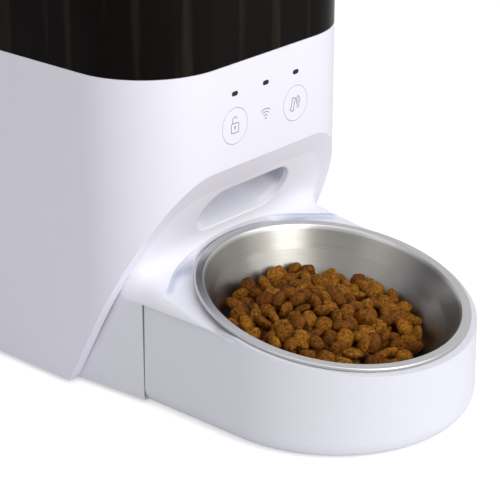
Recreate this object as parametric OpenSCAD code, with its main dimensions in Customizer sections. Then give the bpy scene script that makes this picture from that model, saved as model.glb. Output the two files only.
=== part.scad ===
// Automatic pet feeder: a food tank over a portion wheel, a slanted front with a
// food outlet, and a low stand that carries a tilted steel bowl.
// Front (bowl) is -Y, back is +Y, +Z is up. Millimetres.

/* [Tower] */
// Width of the tower
tower_w = 190; // [176:1:210]
// Depth of the tower
tower_d = 190; // [176:1:210]
// Radius of the tower's upright corners
corner_r = 51; // [40:1:56]
// Height of the white shell's top edge above the table
shell_h = 196.5; // [194:0.5:206]
// Wall of the white shell
shell_t = 3; // [2:0.1:3.4]
// Gap under the tower and the lower body
foot_gap = 2.2; // [1.6:0.1:4]

/* [Slanted front] */
// Distance from the shell's top edge down to the slanted face
cut_down = 60.5; // [57:0.5:64]
// Lean of the slanted face from the upright
cut_angle = 27.9; // [25:0.1:30]
// Width of the shell's return lip round the slanted face
lip_w = 7.5; // [6:0.1:9]
// Thickness of the return lip and of the cowl's face
lip_t = 3; // [2:0.1:3.5]

/* [Food outlet] */
// Width of the outlet
outlet_w = 76; // [70:1:80]
// Height of the outlet along the slanted face
outlet_h = 31; // [26:0.5:33]
// Distance from the slanted face's top edge down to the outlet's centre
outlet_down = 32; // [30:0.5:34]
// Slope of the chute from the level
chute_angle = 30; // [27:0.5:33]
// Wall of the chute
chute_t = 2; // [1.4:0.1:2.4]

/* [Bowl stand] */
// Radius of the stand's round nose
nose_r = 83.5; // [83:0.5:85]
// Height of the side walls' top edge
deck_z = 63.5; // [62:0.5:65]
// Wall of the stand and the lower body
base_t = 2.5; // [2:0.1:3]
// Distance from the tower's face back to the upright seam
seam_back = 20; // [18:0.5:24]
// Width of the rounded lower edge of the stand
toe_w = 7; // [3:0.5:9]
// Height of the rounded lower edge of the stand
toe_h = 10; // [6:0.5:12]

/* [Bowl] */
// Outer diameter of the bowl's rim
bowl_d = 161; // [157:0.5:162]
// Gap between the rim and the slanted face behind it
rim_gap = 2; // [1.6:0.1:3]
// Height of the rim's centre above the table
bowl_z = 65.5; // [64.5:0.1:66.5]
// Tilt of the bowl, front edge lower
bowl_tilt = 10.3; // [9:0.1:11]
// Depth of the bowl
bowl_deep = 41; // [36:0.5:44]
// Width of the bowl's flat rim
rim_w = 5.5; // [4:0.1:7]
// Thickness of the bowl's steel
bowl_t = 1; // [0.8:0.1:1.4]
// Lean of the path along which the bowl is lifted out
lift_angle = 35; // [33:0.5:37]

/* [Food tank] */
// Height of the tank above the shell
tank_h = 94; // [80:1:104]
// Wall of the tank
tank_t = 2.5; // [2:0.1:3]
// Height of the lid above the tank
lid_h = 15; // [12:0.5:18]

/* [Portion wheel] */
// Radius of the wheel over its flaps
wheel_r = 31; // [28:0.5:32]
// Length of the wheel
wheel_len = 71; // [66:1:71]
// Number of pockets in the wheel
wheel_pockets = 6; // [4:1:8]
// Wall of the drum round the wheel
drum_t = 2.5; // [2:0.1:3]
// Distance from the tower's face back to the wheel's axis
wheel_back = 84; // [82:0.5:88]
// Distance from the shell's top edge down to the wheel's axis
wheel_down = 44.5; // [43.5:0.5:46.5]

/* [Buttons and lights] */
// Diameter of the two buttons
button_d = 21; // [16:0.5:23]
// Travel of a button
button_travel = 0.8; // [0.4:0.1:1]
// Sideways distance from the middle to each button
button_x = 26.5; // [24:0.5:29]
// Distance from the shell's top edge down to the buttons
button_down = 36.5; // [33.5:0.5:38.5]
// Distance from the shell's top edge down to the row of lights
light_down = 17.5; // [15.5:0.5:19.5]

/* [Hidden] */
$fn = 96;

fit = 0.3;                      // air between pieces that move or drop in
snug = 0.15;                    // air between fixed pieces
run_fit = 0.05;                 // radial air round a turning shaft
far = 400;                      // longer than anything in the feeder

cut_z = shell_h - cut_down;
cut_slope = tan(cut_angle);
outlet_z = cut_z - outlet_down;
wheel_z = shell_h - wheel_down;
button_z = shell_h - button_down;
light_z = shell_h - light_down;

bowl_r = bowl_d / 2;
rim_back_z = bowl_z + bowl_r * sin(bowl_tilt);  // height of the rim's rear edge
bowl_ahead = bowl_r * cos(bowl_tilt) + rim_gap - (cut_z - rim_back_z) * cut_slope;
stand_reach = bowl_ahead + nose_r;
depth = stand_reach + tower_d;
face_y = stand_reach - depth / 2;
back_y = depth / 2;
tower_y = (face_y + back_y) / 2;
seam_y = face_y + seam_back;
lip_s = lip_t / cos(cut_angle);
tongue_t = 2.5;                                 // part of the cowl that lies behind the lip
floor_z = foot_gap + base_t;

bowl_y = face_y - bowl_ahead;
side_back = tower_w / 2 - lip_w - snug;         // half width of the lower body at the slant
land = 2.4;                                     // from the rim's top down to the stand's top
well_r = bowl_r - rim_w + 2;                    // hole in the stand for the bowl
relief_r = bowl_r + 1.5;                        // room round the rim
sweep_r = relief_r + 10;
sweep_air = 0.8;
ledge_w = 5;                                    // ledge at the back of the bowl's hole
ledge_t = 1.5;

wheel_y = face_y + wheel_back;
drum_r = wheel_r + 1;                           // inside of the drum
drum_half = wheel_len / 2 + 0.5;
drum_end = drum_half + drum_t;
shaft_r = 3;
bush_r = 5.5;
hub_r = 8;
neck_w = 2 * drum_half;
neck_d = 46;
tank_floor = shell_h - 8;                       // where the tank's neck meets the drum
tank_top = shell_h + fit + tank_h;

gear_m = 1;
gear_teeth = 40;
pinion_teeth = 14;
leg_t = 3;                                      // side plates that carry the drum
gear_x0 = drum_end + leg_t + 1.5;
gear_w = 6;
bracket_x = gear_x0 + gear_w + 2;
bracket_t = 2.5;
bracket_h = 64;
gear_gap = gear_m * (gear_teeth + pinion_teeth) / 2;
motor_y = wheel_y + gear_gap;
motor_r = 12;
motor_len = 30;
pinion_shaft_r = 2;

board_t = 1.6;
board_y = face_y + 10;                          // front of the circuit board
board_w = 96;
board_z0 = button_z - 12;
board_z1 = light_z + 8;
stem_r = 2.5;
flange_t = 1.2;

cell_r = 17;
cell_len = 62;
box_w = 6 * cell_r + 5;
box_d = cell_len + 8;
box_y = back_y - shell_t - 5 - box_d / 2;
box_h = 2 * cell_r + 3;
door_lap = 3;

foot_r = 8;
screw_r = 1.5;
head_r = 3;
head_h = 1.8;
latch_w = 34;
latch_travel = 5;

// ---- helpers ----------------------------------------------------------------

// y of the slanted face at height z
function cut_y(z) = face_y + (cut_z - z) * cut_slope;
// height of the rim's plane at y
function rim_z(y) = bowl_z + (y - bowl_y) * tan(bowl_tilt);

module slab(z0, z1) { translate([0, 0, z0]) linear_extrude(z1 - z0) children(); }
module both_sides() { children(); mirror([1, 0, 0]) children(); }
// a shape drawn in Y and Z, carried along X
module along_x(x0, x1) { translate([x0, 0, 0]) rotate([90, 0, 90]) linear_extrude(x1 - x0) children(); }
module rod_x(r, x0, x1) { translate([x0, 0, 0]) rotate([0, 90, 0]) cylinder(r = r, h = x1 - x0); }
// local X across, Y up the slanted face, Z straight out of it
module on_cut() { translate([0, face_y, cut_z]) rotate([90 + cut_angle, 0, 0]) children(); }
// local Z out of the bowl, origin at the rim's centre
module on_rim() { translate([0, bowl_y, bowl_z]) rotate([bowl_tilt, 0, 0]) children(); }
// local Z up the chute, origin at the outlet's centre
module on_chute() { translate([0, cut_y(outlet_z), outlet_z]) rotate([chute_angle - 90, 0, 0]) children(); }
module on_wheel() { translate([0, wheel_y, wheel_z]) children(); }

// plan of the tower with its wall moved in
module plan(inset) {
    w = tower_w - 2 * inset;
    d = tower_d - 2 * inset;
    r = corner_r - inset;
    translate([0, tower_y]) {
        square([w - 2 * r, d], center = true);
        square([w, d - 2 * r], center = true);
        for (sx = [-1, 1], sy = [-1, 1])
            translate([sx * (w / 2 - r), sy * (d / 2 - r)]) circle(r);
    }
}
// everything in front of the slanted face, moved back by s along Y
module before_cut(s = 0) {
    along_x(-far, far)
        polygon([[face_y + s - 1, cut_z + 1 / cut_slope], [cut_y(-9) + s, -9], [-far, -9],
                 [-far, cut_z + 1 / cut_slope]]);
}
// a plate that lies under the slanted face, from depth s0 to s1 along Y
module cut_plate(s0, s1, z0, z1) {
    along_x(-far, far)
        polygon([[cut_y(z1) + s0, z1], [cut_y(z0) + s0, z0], [cut_y(z0) + s1, z0], [cut_y(z1) + s1, z1]]);
}
module pill(w, h) {
    square([w - h, h], center = true);
    for (s = [-1, 1]) translate([s * (w - h) / 2, 0]) circle(h / 2);
}
// spur gear with flat-flanked teeth, slightly thinner than the gaps
module gear_plan(teeth, back) {
    r = gear_m * teeth / 2;
    tip = r + 0.9 * gear_m;
    root = r - 1.15 * gear_m;
    half = 90 / teeth - back;
    difference() {
        union() {
            circle(root + 0.01, $fn = 4 * teeth);
            for (i = [0 : teeth - 1]) rotate(i * 360 / teeth)
                polygon([for (p = [[root - 0.5, -1.75], [r, -1], [tip, -0.42], [tip, 0.42], [r, 1], [root - 0.5, 1.75]])
                    [p[0] * cos(p[1] * half), p[0] * sin(p[1] * half)]]);
        }
    }
}
module screw(len) { cylinder(r = screw_r, h = len); mirror([0, 0, 1]) cylinder(r = head_r, h = head_h); }

// ---- housing ----------------------------------------------------------------

board_posts = [for (x = [-1, 1], z = [board_z0 + 5, board_z1 - 5]) [x * (board_w / 2 - 5), z]];
post_r = 5;
post_h = 16;
low_back = 14;                                  // length of the lower body behind the slant
web_t = 3;
base_post_x = 62;
base_post_y = [cut_y(foot_gap) + low_back + post_r, box_y - 12];
drum_post_x = drum_end - post_r + 1;
drum_post_y = [wheel_y - 9, wheel_y + 9];
base_posts = [for (x = [-base_post_x, base_post_x], y = base_post_y) [x, y]];
drum_posts = [for (x = [-drum_post_x, drum_post_x], y = drum_post_y) [x, y]];

module outer_shell() color("white") difference() {
    union() {
        difference() {
            slab(foot_gap, shell_h) plan(0);
            slab(foot_gap - 1, shell_h + 1) plan(shell_t);
            before_cut();
        }
        intersection() {
            slab(foot_gap, cut_z + 6) difference() { plan(0); plan(lip_w); }
            cut_plate(0, lip_s, foot_gap, cut_z + 6);
        }
        // posts the lower body is screwed to, each with a web to the side wall
        both_sides() for (y = base_post_y) {
            translate([base_post_x, y, floor_z]) cylinder(r = post_r, h = post_h);
            translate([base_post_x, y - web_t / 2, floor_z])
                cube([tower_w / 2 - shell_t / 2 - base_post_x, web_t, post_h]);
        }
        for (p = board_posts) translate([p[0], face_y + shell_t / 2, p[1]])
            rotate([-90, 0, 0]) cylinder(r = 3.2, h = board_y - face_y - shell_t / 2);
    }
    for (x = [-button_x, button_x]) translate([x, face_y - 1, button_z])
        rotate([-90, 0, 0]) cylinder(d = button_d + 0.6, h = shell_t + 2);
    for (x = [-button_x, 0, button_x]) translate([x, face_y - 1, light_z])
        rotate([-90, 0, 0]) linear_extrude(shell_t + 2) pill(5.2, 2.8);
    for (p = board_posts) translate([p[0], face_y + shell_t, p[1]])
        rotate([-90, 0, 0]) cylinder(r = screw_r + run_fit, h = 20);
    for (p = base_posts) translate([p[0], p[1], floor_z - 1]) cylinder(r = screw_r + run_fit, h = post_h - 1);
    translate([inlet_x, back_y - shell_t - 1, inlet_z]) rotate([-90, 0, 0])
        cylinder(r = inlet_r + snug, h = shell_t + 2);
}

// The cowl's deck is a skin between four outlines drawn in Y and Z: the two inner ones
// follow the rim's tilt, the two outer ones stay level with the side walls.
fillet_r = 12;
side_fillet_r = 10;
edge_t = 0.6;
seat = 0.1;                                     // the blend starts just behind the slanted face
deck_flat = nose_r - 13;                        // half width of the tilted middle
floor_drop = land / cos(bowl_tilt);
deck_front = bowl_y + 6;

// outline of the deck: lean is its slope, z0 its height at the bowl's centre, r its blend
function deck_outline(lean, z0, r) = let (
    vz = (z0 + (face_y + cut_z * cut_slope - bowl_y) * tan(lean)) / (1 + cut_slope * tan(lean)),
    vy = cut_y(vz),
    angle = 90 - cut_angle + lean,
    run = r / tan(angle / 2),
    cy = vy - run * cos(lean) - r * sin(lean),
    cz = vz - run * sin(lean) + r * cos(lean)
) concat(
    [[vy - run * sin(cut_angle) + 1, vz + run * cos(cut_angle)]],
    [for (i = [0 : 10]) let (a = -cut_angle - i * (180 - angle) / 10) [cy + seat + r * cos(a), cz + r * sin(a)]],
    [[deck_front, z0 + (deck_front - bowl_y) * tan(lean)], [deck_front, deck_z], [cut_y(deck_z) + 1, deck_z]]
);
module deck() {
    middle = deck_outline(bowl_tilt, bowl_z - floor_drop, fillet_r);
    side = deck_outline(0, deck_z + edge_t, side_fillet_r);
    wide = side_back + 5;
    fold = nose_r - 1;
    rows = [[-wide, side], [-fold, side], [-deck_flat, middle], [deck_flat, middle], [fold, side], [wide, side]];
    n = len(middle);
    last = len(rows) - 1;
    polyhedron(
        points = [for (row = rows, p = row[1]) [row[0], p[0], p[1]]],
        faces = concat(
            [[for (i = [0 : n - 1]) i], [for (i = [n - 1 : -1 : 0]) last * n + i]],
            [for (k = [0 : last - 1], i = [0 : n - 1]) let (a = k * n + i, b = k * n + (i + 1) % n) [a, a + n, b]],
            [for (k = [0 : last - 1], i = [0 : n - 1]) let (a = k * n + i, b = k * n + (i + 1) % n) [b, a + n, b + n]]));
}
// plan of the lower body, wall moved in
module low_plan(inset) {
    b = side_back - inset;
    n = nose_r - inset;
    y1 = cut_y(foot_gap);
    polygon([[-n, bowl_y], [-n, seam_y], [-b, y1], [-b, y1 + low_back], [b, y1 + low_back], [b, y1], [n, seam_y], [n, bowl_y]]);
}

module front_cowl() color("white") difference() {
    union() {
        // flush face inside the lip, and a tongue behind the lip
        intersection() {
            slab(deck_z, cut_z + 3) plan(lip_w + snug);
            cut_plate(0, lip_s + 1, deck_z, cut_z + 3);
        }
        intersection() {
            slab(deck_z, cut_z) plan(shell_t + snug);
            cut_plate(lip_s + snug, lip_s + tongue_t, deck_z, cut_z - 3);
        }
        // deck and its blend into the slanted face
        intersection() {
            deck();
            slab(deck_z, cut_z) low_plan(0);
            union() {
                before_cut(-snug);
                slab(deck_z, cut_z) plan(lip_w + snug);
            }
        }
    }
    on_rim() {
        translate([0, 0, -land]) cylinder(r = relief_r, h = land + 1);
        translate([0, 0, -40]) cylinder(r = well_r - ledge_w, h = 60);
    }
    // the well stops on a ledge that covers the gap behind the base's front wall
    difference() {
        on_rim() translate([0, 0, -40]) cylinder(r = well_r, h = 60);
        translate([-far / 2, seam_y, deck_z - 1]) cube([far, far, 1 + ledge_t]);
    }
    // room for the rim on its way out
    intersection() {
        on_rim() translate([-far / 2, -far / 2, 0]) cube(far);
        translate([0, bowl_y, bowl_z]) rotate([lift_angle, 0, 0])
            translate([0, relief_r * cos(lift_angle - bowl_tilt) + sweep_air - sweep_r, -far / 4]) cylinder(r = sweep_r, h = far);
    }
    on_cut() translate([0, -(cut_z - outlet_z) / cos(cut_angle), -10]) linear_extrude(30) pill(outlet_w, outlet_h);
}

module base_housing() color("white") difference() {
    union() {
        slab(foot_gap, floor_z) intersection() {
            low_plan(0);
            translate([-far, seam_y]) square([2 * far, far]);
        }
        slab(foot_gap, floor_z) intersection() {
            plan(shell_t + snug);
            translate([-far, cut_y(foot_gap) + lip_s + snug]) square([2 * far, far]);
        }
        slab(foot_gap, deck_z) intersection() {
            difference() { low_plan(0); low_plan(base_t); }
            translate([-far, seam_y]) square([2 * far, cut_y(foot_gap) + low_back - 1 - seam_y]);
        }
        slab(foot_gap, deck_z) translate([-nose_r + base_t / 2, seam_y]) square([2 * nose_r - base_t, base_t]);
        translate([0, tab_y, floor_z]) cylinder(r = post_r, h = 9);
    }
    translate([0, box_y, foot_gap - 1]) linear_extrude(base_t + 2)
        square([box_w - 2 * door_lap, box_d - 2 * door_lap], center = true);
    translate([0, 0, foot_gap - 1]) linear_extrude(1 + door_t + snug) door_plan(0);
    translate([0, tab_y, foot_gap]) cylinder(r = screw_r + run_fit, h = 9);
    for (p = concat(base_posts, drum_posts)) translate([p[0], p[1], foot_gap - 1]) {
        cylinder(r = screw_r + run_fit, h = base_t + 2);
        cylinder(r = head_r + snug, h = 1 + head_h);
    }
    for (x = stand_posts) translate([x, seam_y - 1, stand_screw_z]) rotate([-90, 0, 0]) cylinder(r = screw_r + run_fit, h = 9);
}

// outline of the stand's wall, radius against height
module stand_profile(t) {
    z0 = foot_lift + t;
    r = nose_r - t;
    w = toe_w - t / 2;
    h = toe_h - t / 2;
    polygon(concat(
        [[0, z0], [r - w, z0]],
        [for (i = [1 : 8]) let (a = -90 + i * 90 / 8) [r - w + w * cos(a), z0 + h + h * sin(a)]],
        [[r - 1.2, 90], [0, 90]]));
}
module stand_form(t) {
    translate([0, bowl_y, 0]) rotate_extrude() stand_profile(t);
    translate([0, seam_y - snug - t, 0]) rotate([90, 0, 0])
        linear_extrude(seam_y - snug - t - bowl_y) { stand_profile(t); mirror([1, 0]) stand_profile(t); }
}
foot_lift = 0.8;
stand_posts = [-50, 50];
stand_screw_z = 30;

module bowl_stand() color("white") difference() {
    intersection() {
        stand_form(0);
        on_rim() translate([-far / 2, -far / 2, -land - far]) cube(far);
        translate([-far / 2, -far / 2, 0]) cube([far, far, deck_z]);
        union() {
            difference() {
                translate([-far / 2, -far / 2, 0]) cube([far, far / 2 + seam_y - snug, far]);
                intersection() {
                    stand_form(base_t);
                    on_rim() translate([-far / 2, -far / 2, -land - base_t - far]) cube(far);
                    translate([-far / 2, -far / 2, 0]) cube([far, far / 2 + seam_y - snug - base_t, deck_z - base_t]);
                }
            }
            intersection() {
                on_rim() translate([0, 0, -land - 12]) cylinder(r = well_r + 2, h = 30);
                translate([-far / 2, -far / 2, 0]) cube([far, far / 2 + seam_y - snug, far]);
            }
        }
    }
    on_rim() translate([0, 0, -land - 24]) cylinder(r = well_r, h = 60);
    for (x = stand_posts) translate([x, seam_y - 8, stand_screw_z]) rotate([-90, 0, 0]) cylinder(r = screw_r + run_fit, h = 9);
}

module base_screws() color("dimgray")
    for (p = concat(base_posts, drum_posts)) translate([p[0], p[1], foot_gap + head_h]) screw(12);
module stand_screws() color("dimgray")
    for (x = stand_posts) translate([x, seam_y + base_t, stand_screw_z]) rotate([90, 0, 0]) screw(base_t + snug + base_t);

foot_in = 27;                                   // from the tower's sides to a foot
foot_behind = 33;                               // from the tower's face back to a front foot
stand_foot = 52;                                // from the bowl's centre to a foot of the stand
tower_feet = [for (x = [foot_in - tower_w / 2, tower_w / 2 - foot_in], y = [face_y + foot_behind, back_y - foot_in]) [x, y]];
stand_feet = [[-stand_foot, bowl_y], [stand_foot, bowl_y], [0, bowl_y - stand_foot]];
module rubber_feet() color("dimgray") {
    for (p = tower_feet) translate([p[0], p[1], 0]) cylinder(r = foot_r, h = foot_gap);
    for (p = stand_feet) translate([p[0], p[1], 0]) cylinder(r = foot_r, h = foot_lift);
}

// ---- dispenser --------------------------------------------------------------

chute_w = 2 * drum_half - 1;
chute_h = outlet_h - 1;
sensor_at = 30;
sensor_r = 2.5;
post_spots = [[6, -27], [6, 27]];               // bracket posts, from the wheel's axis
tie_r = 4;

module outlet_chute() color("gainsboro") difference() {
    on_chute() translate([0, 0, -30]) linear_extrude(96) pill(chute_w + 2 * chute_t, chute_h + 2 * chute_t);
    on_chute() translate([0, 0, -31]) linear_extrude(99) pill(chute_w, chute_h);
    before_cut(lip_s + tongue_t);
    on_wheel() rod_x(drum_r + drum_t + snug, -far, far);
    on_chute() translate([0, 0, sensor_at]) rod_x(sensor_r + snug, -far, far);
}

module food_sensors() color("dimgray") on_chute() translate([0, 0, sensor_at]) both_sides() {
    rod_x(sensor_r, chute_w / 2 + 0.4, chute_w / 2 + chute_t + 1);
    rod_x(sensor_r + 2, chute_w / 2 + chute_t, chute_w / 2 + chute_t + 6);
}

module drum_housing() color("gainsboro") difference() {
    union() {
        on_wheel() {
            rod_x(drum_r + drum_t, -drum_end - leg_t, drum_end + leg_t);
            translate([-drum_end, -neck_d / 2 - drum_t, 0])
                cube([2 * drum_end, neck_d + 2 * drum_t, tank_floor - fit - wheel_z]);
        }
        both_sides() translate([drum_end, wheel_y - 15, floor_z]) cube([leg_t, 30, wheel_z - floor_z]);
        for (p = drum_posts) translate([p[0], p[1], floor_z]) cylinder(r = post_r, h = post_h);
    }
    on_wheel() {
        rod_x(drum_r, -drum_half, drum_half);
        translate([-drum_half, -neck_d / 2, 0]) cube([2 * drum_half, neck_d, 100]);
        rod_x(bush_r, -far, far);
    }
    on_chute() translate([0, 0, 40]) linear_extrude(40) pill(chute_w, chute_h);
    for (p = drum_posts) translate([p[0], p[1], floor_z - 1]) cylinder(r = screw_r + run_fit, h = post_h - 1);
}

module drum_bushes() color("goldenrod") on_wheel() both_sides() difference() {
    rod_x(bush_r, drum_half + 0.2, drum_end + leg_t + 0.5);
    rod_x(shaft_r + run_fit, 0, far);
}

module portion_wheel() color("whitesmoke") on_wheel() difference() {
    union() {
        rod_x(hub_r, -wheel_len / 2, wheel_len / 2);
        for (i = [1 : wheel_pockets]) rotate([i * 360 / wheel_pockets, 0, 0])
            translate([-wheel_len / 2, -1.2, 0]) cube([wheel_len, 2.4, wheel_r - 8]);
    }
    rod_x(shaft_r + run_fit, -far, far);
}
module wheel_flaps() color("dimgray") on_wheel()
    for (i = [1 : wheel_pockets]) rotate([i * 360 / wheel_pockets, 0, 0])
        translate([-wheel_len / 2, -1, wheel_r - 8]) cube([wheel_len, 2, 7.8]);
module wheel_shaft() color("silver") on_wheel() rod_x(shaft_r, -drum_end - leg_t, gear_x0 + gear_w + 1);
module drive_gear() color("whitesmoke") translate([gear_x0, wheel_y, wheel_z]) difference() {
    along_x(0, gear_w) gear_plan(gear_teeth, 0.2);
    rod_x(shaft_r + run_fit, -1, gear_w + 1);
}

module motor_pinion() color("goldenrod") translate([0, motor_y, wheel_z]) {
    along_x(gear_x0, gear_x0 + gear_w) rotate(180 / pinion_teeth) gear_plan(pinion_teeth, 0.4);
    rod_x(pinion_shaft_r, gear_x0 + gear_w - 1, bracket_x + bracket_t + 7);
}

module motor_bracket() color("silver") difference() {
    union() {
        translate([bracket_x, wheel_y - 2, wheel_z - bracket_h / 2])
            cube([bracket_t, gear_gap + motor_r + 5, bracket_h]);
        on_wheel() for (p = post_spots) translate([0, p[0], p[1]]) rod_x(tie_r, drum_end + leg_t, bracket_x + 0.5);
    }
    translate([0, motor_y, wheel_z]) {
        rod_x(5, 0, far);
        for (z = motor_holes) translate([0, 0, z]) rod_x(screw_r + run_fit, 0, far);
    }
}
motor_holes = [-8.6, 8.6];
module gear_motor() color("silver") translate([0, motor_y, wheel_z]) difference() {
    union() {
        rod_x(motor_r, bracket_x + bracket_t, bracket_x + bracket_t + motor_len);
        rod_x(4, bracket_x + bracket_t + motor_len - 1, bracket_x + bracket_t + motor_len + 2);
    }
    rod_x(pinion_shaft_r + run_fit, 0, bracket_x + bracket_t + 8);
    for (z = motor_holes) translate([0, 0, z]) rod_x(screw_r + run_fit, 0, bracket_x + bracket_t + 5);
}
module motor_screws() color("dimgray") translate([bracket_x, motor_y, wheel_z])
    for (z = motor_holes) translate([0, 0, z]) rotate([0, 90, 0]) screw(bracket_t + 4);

// ---- electronics ------------------------------------------------------------

inlet_x = 30;
inlet_z = 58;
inlet_r = 5.5;
switch_d = 3.5;
nub_d = 0.7;
stem_end = board_y - switch_d - nub_d - button_travel - 0.05;

module control_board() color("seagreen") difference() {
    translate([-board_w / 2, board_y, board_z0]) cube([board_w, board_t, board_z1 - board_z0]);
    for (p = board_posts) translate([p[0], board_y - 1, p[1]]) rotate([-90, 0, 0]) cylinder(r = screw_r + run_fit, h = 5);
}
module board_screws() color("dimgray")
    for (p = board_posts) translate([p[0], board_y + board_t, p[1]]) rotate([90, 0, 0])
        screw(board_t + board_y - face_y - shell_t - 0.5);
module tact_switches() color("dimgray") for (x = [-button_x, button_x]) translate([x, board_y, button_z]) {
    translate([-3, -switch_d, -3]) cube([6, switch_d, 6]);
    rotate([90, 0, 0]) cylinder(r = 1.5, h = switch_d + nub_d);
}
module led_lenses() color("dimgray") for (x = [-button_x, 0, button_x]) translate([x, face_y, light_z])
    rotate([-90, 0, 0]) {
        linear_extrude(shell_t + 0.5) pill(5, 2.6);
        translate([0, 0, shell_t]) linear_extrude(1) pill(8, 5);
        cylinder(r = 1.2, h = board_y - face_y);
    }
module push_button(x) translate([x, 0, button_z]) {
    translate([0, face_y, 0]) rotate([-90, 0, 0]) cylinder(d = button_d, h = shell_t + fit + flange_t);
    translate([0, face_y + shell_t + fit, 0]) rotate([-90, 0, 0]) cylinder(d = button_d + 3, h = flange_t);
    translate([0, face_y + 1, 0]) rotate([-90, 0, 0]) cylinder(r = stem_r, h = stem_end - face_y - 1);
}
module lock_button() color("white") push_button(-button_x);
module feed_button() color("white") push_button(button_x);

module dc_inlet() color("dimgray") translate([inlet_x, back_y, inlet_z]) rotate([90, 0, 0]) {
    difference() {
        union() {
            cylinder(r = inlet_r, h = shell_t + 13);
            translate([0, 0, shell_t]) cylinder(r = inlet_r + 2, h = 1.6);
        }
        translate([0, 0, -1]) cylinder(r = 2.75, h = 10.5);
    }
    translate([0, 0, 1.5]) cylinder(r = 1, h = 9);
}

// ---- battery bay ------------------------------------------------------------

bay_t = 1.8;
door_t = 1.5;
tab_y = box_y - box_d / 2 - post_r;             // screw of the battery door
module door_plan(inset) {
    translate([0, box_y]) square([box_w - 2 * inset, box_d - 2 * inset], center = true);
    translate([0, tab_y]) circle(head_r + 2.5 - inset);
    translate([-head_r - 2.5 + inset, tab_y]) square([2 * head_r + 5 - 2 * inset, post_r + 1]);
}
module battery_box() color("gainsboro") difference() {
    slab(floor_z, floor_z + box_h) translate([0, box_y]) square([box_w, box_d], center = true);
    slab(floor_z - 1, floor_z + box_h - bay_t) translate([0, box_y])
        square([box_w - 2 * bay_t, box_d - 2 * bay_t], center = true);
}
module battery_contacts() color("silver") for (i = [-1 : 1])
    translate([i * 2 * cell_r, box_y, floor_z + box_h / 2 - bay_t / 2]) for (s = [-1, 1]) {
        translate([-7, s > 0 ? box_d / 2 - bay_t - 0.6 : -box_d / 2 + bay_t, -7]) cube([14, 0.6, 14]);
        translate([0, s * (box_d / 2 - bay_t - 0.6), 0]) rotate([s * 90, 0, 0])
            difference() {
                cylinder(r1 = 5.5, r2 = s > 0 ? 3 : 3.5, h = s > 0 ? 1.5 : 2.2);
                translate([0, 0, 0.8]) cylinder(r = 2, h = 9);
            }
    }
module battery_door() color("white") difference() {
    union() {
        slab(foot_gap, foot_gap + door_t) door_plan(snug);
        slab(foot_gap, floor_z) translate([0, box_y])
            square([box_w - 2 * door_lap - 2 * snug, box_d - 2 * door_lap - 2 * snug], center = true);
    }
    for (i = [-3 : 3]) translate([i * 6 - 1, box_y + box_d / 2 - 14, foot_gap - 1]) cube([2, 8, 1.8]);
    translate([0, tab_y, foot_gap - 1]) {
        cylinder(r = screw_r + run_fit, h = 9);
        cylinder(r = head_r + snug, h = 2);
    }
}
module door_screw() color("dimgray") translate([0, tab_y, foot_gap]) difference() {
    union() { cylinder(r = head_r, h = 0.9); cylinder(r = screw_r, h = base_t + 5); }
    translate([-2, -0.4, -0.1]) cube([4, 0.8, 0.6]);
}

// ---- bowl -------------------------------------------------------------------

bowl_in = bowl_r - rim_w;
bowl_floor_r = 44;
bowl_knee = [54, -bowl_deep + 6];
module steel_bowl() color("silver") on_rim() rotate_extrude() {
    t = bowl_t;
    polygon(concat(
        [[0, -bowl_deep], [bowl_floor_r, -bowl_deep]],
        [for (i = [1 : 6]) let (a = i * 90 / 6)
            [bowl_floor_r + (bowl_knee[0] - bowl_floor_r) * sin(a), bowl_knee[1] - 6 * cos(a)]],
        [[bowl_in - 1, -0.9], [bowl_in, 0], [bowl_r - 0.7, 0], [bowl_r, -0.7], [bowl_r, -2.1],
         [bowl_r - t, -2.1], [bowl_r - t, -t], [bowl_in + 0.6, -t], [bowl_knee[0] + t, bowl_knee[1] - 0.2]],
        [for (i = [5 : -1 : 0]) let (a = i * 90 / 6)
            [bowl_floor_r + (bowl_knee[0] + t - bowl_floor_r) * sin(a), bowl_knee[1] - (6 + t) * cos(a)]],
        [[0, -bowl_deep - t]]));
}

// ---- tank and lid -----------------------------------------------------------

tank_z = shell_h + fit;
slope_z = tank_z + 30;
slot_w = 20;
slot_h = 5;
slot_z = tank_top - slot_h - 3;
module food_tank() color([0.25, 0.22, 0.2, 0.6]) difference() {
    union() {
        slab(tank_z, tank_top) difference() { plan(0); plan(tank_t); }
        slab(shell_h - 6, tank_z + 3) difference() { plan(shell_t + fit); plan(shell_t + fit + 2); }
        slab(tank_z, tank_z + 3) difference() { plan(tank_t - 0.5); plan(shell_t + fit + 2); }
        difference() {
            funnel(0);
            translate([0, 0, tank_t]) funnel(tank_t);
            translate([-neck_w / 2, wheel_y - neck_d / 2, tank_floor - 1]) cube([neck_w, neck_d, 9]);
        }
    }
    translate([-slot_w / 2, face_y - 1, slot_z]) cube([slot_w, tank_t + 2, slot_h]);
}
module funnel(cut) hull() {
    translate([0, 0, slope_z]) linear_extrude(0.1 + cut) plan(tank_t - 0.1);
    translate([-neck_w / 2 - tank_t + cut, wheel_y - neck_d / 2 - tank_t + cut, tank_floor])
        cube([neck_w + 2 * tank_t - 2 * cut, neck_d + 2 * tank_t - 2 * cut, 0.1]);
}

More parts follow.
